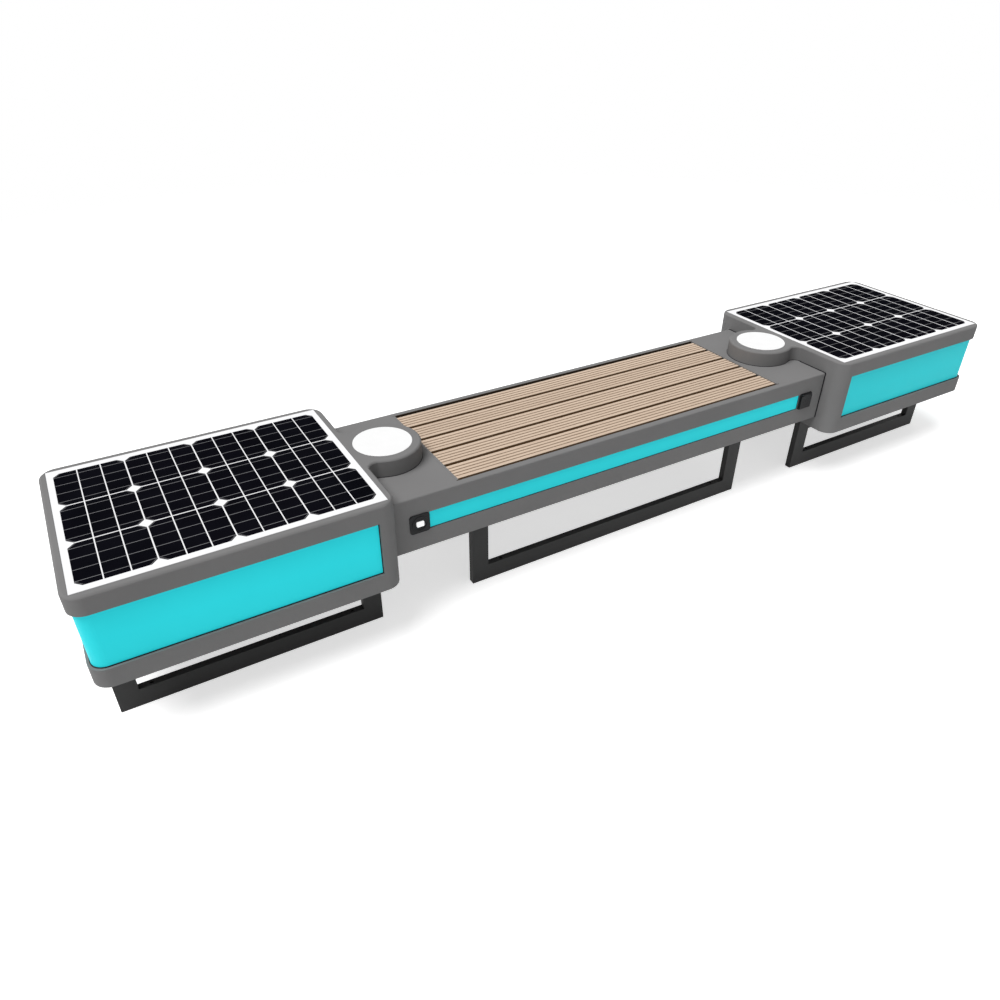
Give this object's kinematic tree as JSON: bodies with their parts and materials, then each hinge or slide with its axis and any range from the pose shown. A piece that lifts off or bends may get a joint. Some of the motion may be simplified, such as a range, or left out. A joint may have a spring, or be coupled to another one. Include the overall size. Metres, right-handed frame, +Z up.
{
  "type": "solar charging bench",
  "caption": "Long outdoor bench with a slatted seat between lit end pods that carry solar panels and round wireless charging pads, on flat-bar loop legs.",
  "frame": {"origin": "on the ground under the middle of the bench", "axes": "+X runs along the bench to the right as seen from the front, +Y points to the back, +Z points up; the front with the push-button and the socket faces -Y"},
  "size_m": [2.9, 0.55, 0.44],
  "materials": {
    "pod_paint": "fine-textured mid-grey powder coat",
    "leg_paint": "satin near-black powder coat",
    "tray_paint": "matt dark brown powder coat",
    "white_paint": "matt white paint",
    "wood_slat": "grooved composite boards, brushed, light brown",
    "lit_opal": "opal acrylic, lit cyan from behind",
    "light_tape": "white tape with yellow chips",
    "bare_alu": "mill finish",
    "steel": "zinc-plated",
    "white_laminate": "glossy clear laminate over a white backing",
    "solar_cell": "blue-black cells with fine silver busbars",
    "black_plastic": "satin black moulded plastic",
    "battery_case": "matt dark blue-grey case",
    "pad_white": "smooth white plastic",
    "copper_coil": "wound enamelled copper wire",
    "seal_rubber": "matt black rubber"
  },
  "bodies": {
    "bench": {"left_pod_shell": "pod_paint", "left_pod_base": "pod_paint", "left_door_pin": "steel", "left_pod_diffuser": "lit_opal", "left_light_wall": "white_paint", "left_pod_leds": "light_tape", "left_panel_frame": "bare_alu", "left_solar_laminate": "white_laminate", "left_solar_cells": "solar_cell", "left_junction_box": "black_plastic", "left_battery": "battery_case", "left_charge_controller": "black_plastic", "left_charging_pad": "pad_white", "left_charging_coil": "copper_coil", "right_pod_shell": "pod_paint", "right_pod_base": "pod_paint", "right_door_pin": "steel", "right_pod_diffuser": "lit_opal", "right_light_wall": "white_paint", "right_pod_leds": "light_tape", "right_panel_frame": "bare_alu", "right_solar_laminate": "white_laminate", "right_solar_cells": "solar_cell", "right_junction_box": "black_plastic", "right_battery": "battery_case", "right_light_driver": "black_plastic", "right_charging_pad": "pad_white", "right_charging_coil": "copper_coil", "seat_shell": "pod_paint", "seat_base": "pod_paint", "slat_tray": "tray_paint", "slat_bearers": "leg_paint", "slat_1": "wood_slat", "slat_2": "wood_slat", "slat_3": "wood_slat", "slat_4": "wood_slat", "slat_5": "wood_slat", "front_light_strip": "lit_opal", "back_light_strip": "lit_opal", "seat_light_rails": "bare_alu", "button_plate": "black_plastic", "switch_block": "black_plastic", "socket_plate": "black_plastic", "usb_socket": "black_plastic", "flap_pin": "steel", "wiring_conduit": "black_plastic", "joint_seals": "seal_rubber", "seat_bolts": "steel", "left_front_leg": "leg_paint", "left_back_leg": "leg_paint", "centre_front_leg": "leg_paint", "centre_back_leg": "leg_paint", "right_front_leg": "leg_paint", "right_back_leg": "leg_paint", "leg_bolts": "steel"},
    "button": {"power_button": "pad_white"},
    "flap": {"socket_flap": "black_plastic"},
    "left_door": {"left_service_door": "pod_paint"},
    "right_door": {"right_service_door": "pod_paint"}
  },
  "joints": [
    {"name": "button_press", "type": "slide", "parent": "bench", "child": "button", "axis": [0, 1, 0], "range_m": [0, 0.002], "stiffness_N_per_m": 800},
    {"name": "flap_hinge", "type": "hinge", "parent": "bench", "child": "flap", "pos_m": [0.6745, -0.2208, 0.3375], "axis": [-1, 0, 0], "range_deg": [0, 110]},
    {"name": "left_door_hinge", "type": "hinge", "parent": "bench", "child": "left_door", "pos_m": [-0.93, 0.084, 0.1907], "axis": [1, 0, 0], "range_deg": [0, 85]},
    {"name": "right_door_hinge", "type": "hinge", "parent": "bench", "child": "right_door", "pos_m": [0.93, 0.084, 0.1907], "axis": [1, 0, 0], "range_deg": [0, 85]}
  ]
}
